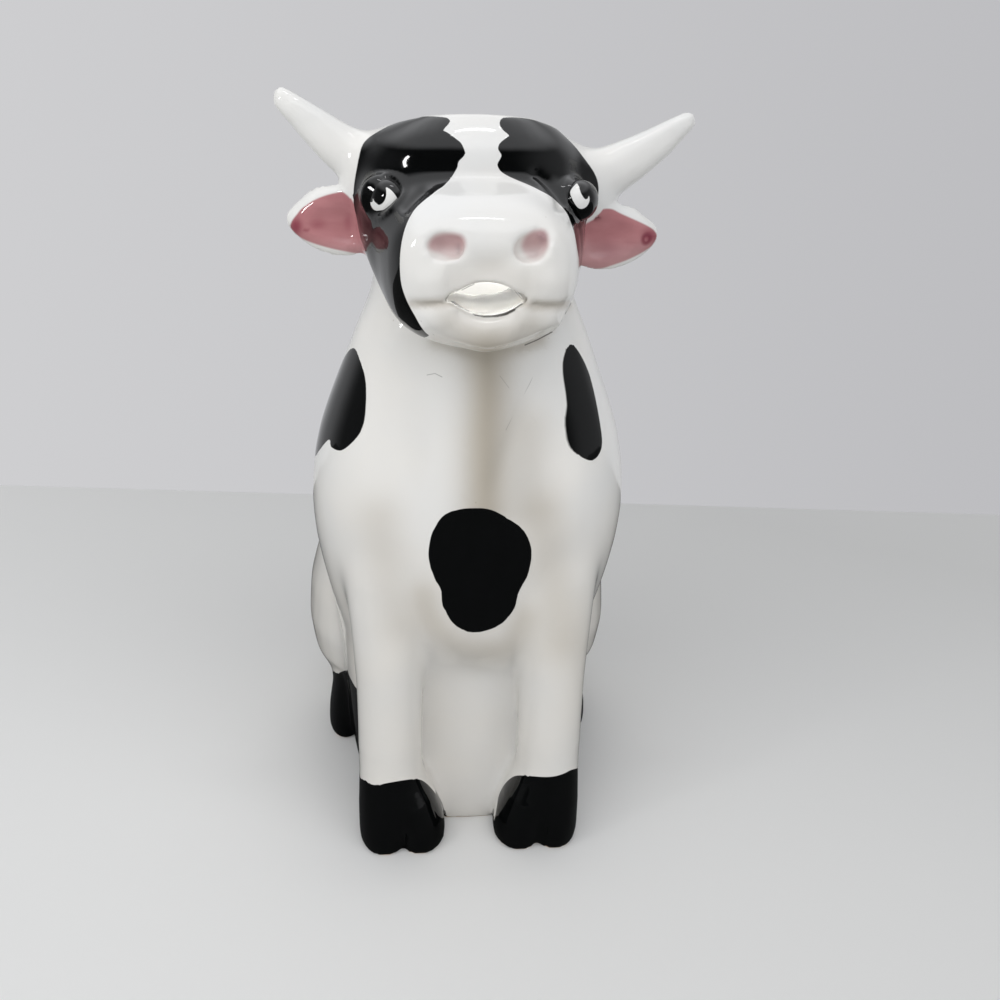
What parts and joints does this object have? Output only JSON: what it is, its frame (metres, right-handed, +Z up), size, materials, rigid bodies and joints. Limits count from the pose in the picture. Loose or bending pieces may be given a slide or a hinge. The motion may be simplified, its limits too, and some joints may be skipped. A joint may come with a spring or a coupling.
{
  "type": "cream jug",
  "caption": "Hollow ceramic cream jug shaped as a seated cow, filled through the open crown, poured through the mouth, with the tail as its handle.",
  "frame": {"origin": "middle of the flat foot under the trunk, on the table", "axes": "+Z up, -Y the way the face looks and the mouth pours, +Y towards the tail handle, +X to the right of a person looking at the face"},
  "size_m": [0.0845, 0.1173, 0.1638],
  "materials": {
    "white_glaze": "clear gloss over white body",
    "black_glaze": "glossy black"
  },
  "bodies": {
    "root": {"body_shell": "white_glaze", "head_shell": "white_glaze", "left_horn": "white_glaze", "right_horn": "white_glaze", "left_ear": "white_glaze", "right_ear": "white_glaze", "left_foreleg": "white_glaze", "right_foreleg": "white_glaze", "left_fore_hoof": "black_glaze", "right_fore_hoof": "black_glaze", "left_haunch": "white_glaze", "right_haunch": "white_glaze", "left_hind_hoof": "black_glaze", "right_hind_hoof": "black_glaze", "tail_handle": "white_glaze", "tail_tuft": "black_glaze"}
  },
  "joints": []
}
